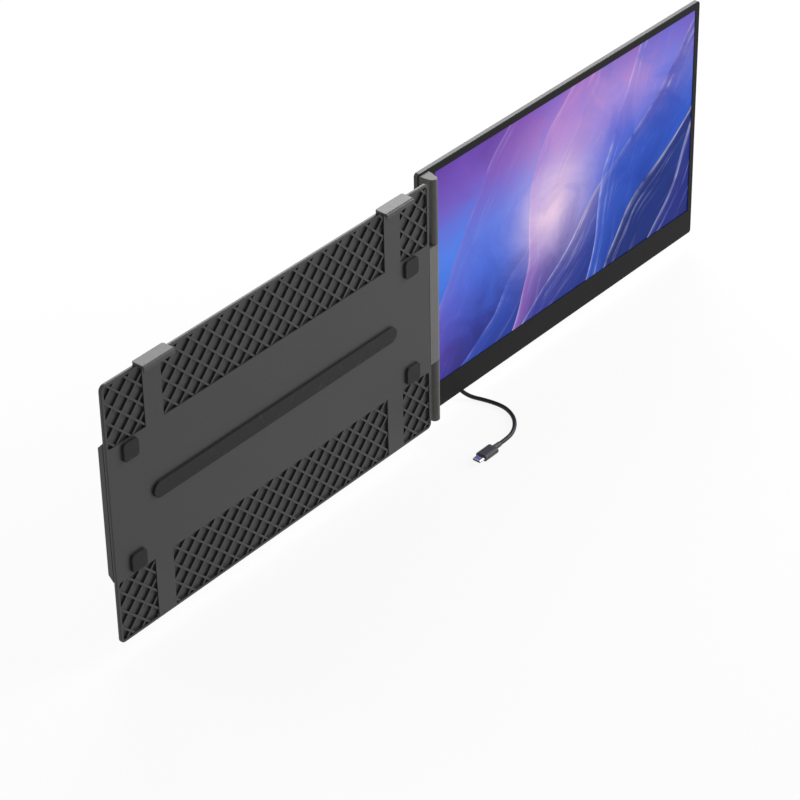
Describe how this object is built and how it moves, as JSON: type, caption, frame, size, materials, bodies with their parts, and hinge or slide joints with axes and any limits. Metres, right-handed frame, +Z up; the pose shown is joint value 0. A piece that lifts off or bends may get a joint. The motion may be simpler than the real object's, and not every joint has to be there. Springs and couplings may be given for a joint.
{
  "type": "laptop screen extender",
  "caption": "Clip-on tray for a laptop lid with spring hooks and kickstand, and a hinged second screen with a rear socket housing and a short USB-C lead.",
  "frame": {"origin": "middle of the plane that the laptop lid's back rests on, at the tray's centre", "axes": "+X to the right along the tray towards the screen, +Y backwards through the tray away from the user, +Z up along the tray"},
  "size_m": [0.7555, 0.0865, 0.247],
  "materials": {
    "tray_plastic": "fine moulded grain",
    "pad_rubber": "matt",
    "hook_plastic": "fine moulded grain",
    "slider_plastic": "smooth moulded",
    "spring_steel": "drawn",
    "screw_steel": "black oxide",
    "hinge_metal": "satin paint",
    "sleeve_bronze": "machined",
    "screen_plastic": "fine moulded grain",
    "panel_glass": "smooth",
    "plate_aluminium": "rolled sheet",
    "board": "solder mask",
    "socket_steel": "plated",
    "speaker_plastic": "moulded",
    "key_plastic": "smooth moulded",
    "lead_sheath": "matt extruded"
  },
  "bodies": {
    "tray": {"tray_frame": "tray_plastic", "channel_cover_left": "tray_plastic", "channel_cover_right": "tray_plastic", "lid_pad_centre": "pad_rubber", "lid_pad_upper_left": "pad_rubber", "lid_pad_upper_right": "pad_rubber", "lid_pad_lower_left": "pad_rubber", "lid_pad_lower_right": "pad_rubber", "rear_cover": "tray_plastic", "cover_screws": "screw_steel", "hook_spring_left": "spring_steel", "hook_spring_right": "spring_steel", "kickstand_pin_left": "spring_steel", "kickstand_pin_right": "spring_steel", "hinge_knuckle": "hinge_metal", "hinge_shaft_upper": "spring_steel", "hinge_shaft_lower": "spring_steel"},
    "left_hook": {"hook_left": "hook_plastic", "hook_liner_left": "pad_rubber", "hook_slider_left": "slider_plastic"},
    "right_hook": {"hook_right": "hook_plastic", "hook_liner_right": "pad_rubber", "hook_slider_right": "slider_plastic"},
    "kickstand": {"kickstand_plate": "tray_plastic", "kickstand_foot": "pad_rubber"},
    "screen": {"hinge_arm_upper": "hinge_metal", "hinge_arm_lower": "hinge_metal", "hinge_sleeve_upper": "sleeve_bronze", "hinge_sleeve_lower": "sleeve_bronze", "hinge_leaf_upper": "spring_steel", "hinge_leaf_lower": "spring_steel", "hinge_arm_screws": "screw_steel", "screen_bezel": "screen_plastic", "display_panel": "panel_glass", "backlight_plate": "plate_aluminium", "screen_back_shell": "screen_plastic", "driver_board": "board", "control_board": "board", "usb_c_power_socket": "socket_steel", "usb_c_video_socket": "socket_steel", "mini_hdmi_socket": "socket_steel", "speaker_left": "speaker_plastic", "speaker_right": "speaker_plastic", "usb_c_lead": "lead_sheath", "screen_plug_body": "lead_sheath", "screen_plug_shell": "socket_steel", "screen_plug_relief": "lead_sheath", "laptop_plug_body": "lead_sheath", "laptop_plug_shell": "socket_steel", "laptop_plug_relief": "lead_sheath"},
    "power_button": {"power_key": "key_plastic"},
    "menu_button": {"menu_key": "key_plastic"},
    "source_button": {"source_key": "key_plastic"}
  },
  "joints": [
    {"name": "screen_hinge", "type": "hinge", "parent": "tray", "child": "screen", "pos_m": [0.1935, 0.0067, 0], "axis": [0, 0, 1], "range_deg": [-170, 0]},
    {"name": "kickstand_hinge", "type": "hinge", "parent": "tray", "child": "kickstand", "pos_m": [0, 0.009, -0.05], "axis": [-1, 0, 0], "range_deg": [0, 135]},
    {"name": "left_hook_slide", "type": "slide", "parent": "tray", "child": "left_hook", "axis": [0, 0, 1], "range_m": [0, 0.018], "stiffness_N_per_m": 150, "springref_m": -0.02, "deforming": ["hook_spring_left"]},
    {"name": "right_hook_slide", "type": "slide", "parent": "tray", "child": "right_hook", "axis": [0, 0, 1], "range_m": [0, 0.018], "stiffness_N_per_m": 150, "springref_m": -0.02, "deforming": ["hook_spring_right"]},
    {"name": "power_key_press", "type": "slide", "parent": "screen", "child": "power_button", "axis": [0, -1, 0], "range_m": [0, 0.0005], "stiffness_N_per_m": 1500, "springref_m": -0.0002},
    {"name": "menu_key_press", "type": "slide", "parent": "screen", "child": "menu_button", "axis": [0, -1, 0], "range_m": [0, 0.0005], "stiffness_N_per_m": 1500, "springref_m": -0.0002},
    {"name": "source_key_press", "type": "slide", "parent": "screen", "child": "source_button", "axis": [0, -1, 0], "range_m": [0, 0.0005], "stiffness_N_per_m": 1500, "springref_m": -0.0002}
  ]
}
